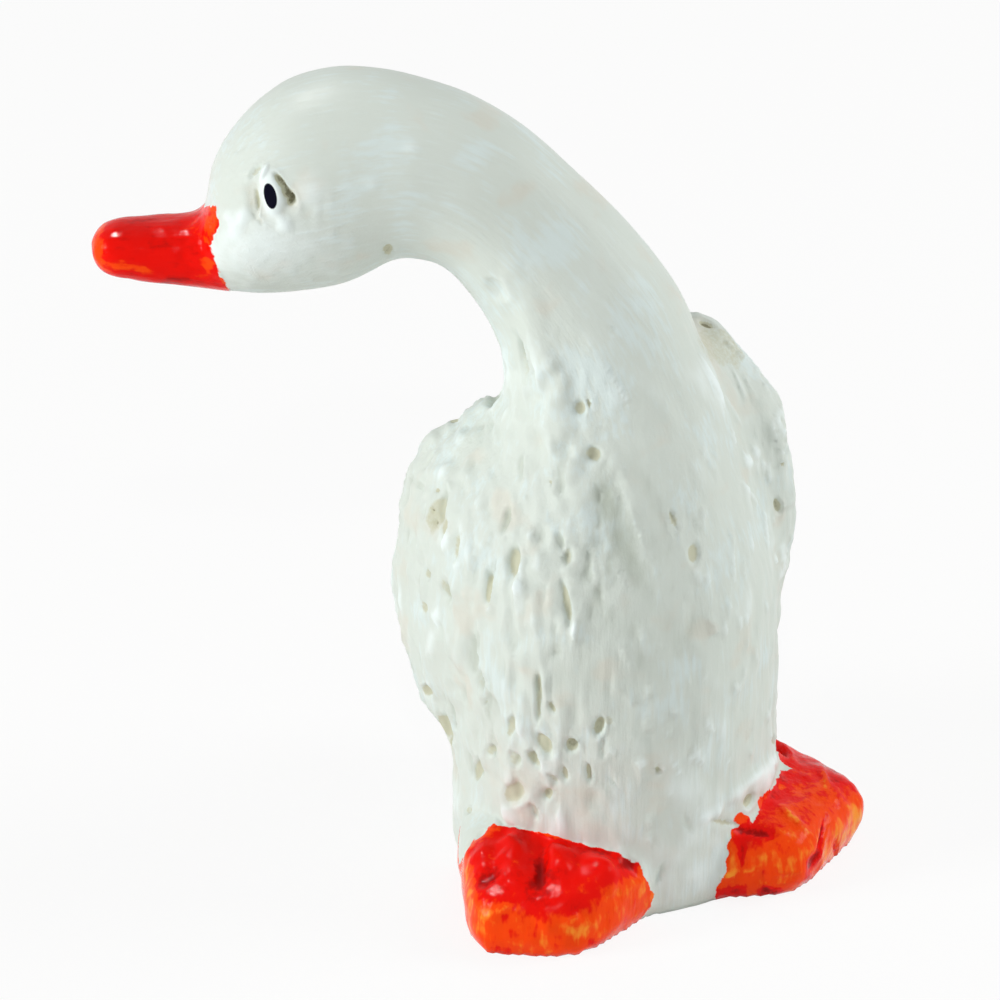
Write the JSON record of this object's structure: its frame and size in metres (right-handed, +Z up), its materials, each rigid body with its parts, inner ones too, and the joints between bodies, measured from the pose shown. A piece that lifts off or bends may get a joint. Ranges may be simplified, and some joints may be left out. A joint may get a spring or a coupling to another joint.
{
  "type": "goose figurine",
  "caption": "Small painted clay goose that stands upright on a flat base, with its neck arched over and its head held out level to one side. An ornament for a shelf or a toy farmyard.",
  "frame": {"origin": "on the body's upright axis, in the flat face it stands on", "axes": "+Z up; the breast faces -Y; the goose's own right side is at -X, and the beak points to -X and a little to +Y"},
  "size_m": [0.0484, 0.0341, 0.0571],
  "materials": {
    "painted_clay": "off-white hobby paint with a soft gloss over tool-marked clay"
  },
  "bodies": {
    "root": {"goose": "painted_clay"}
  },
  "joints": []
}
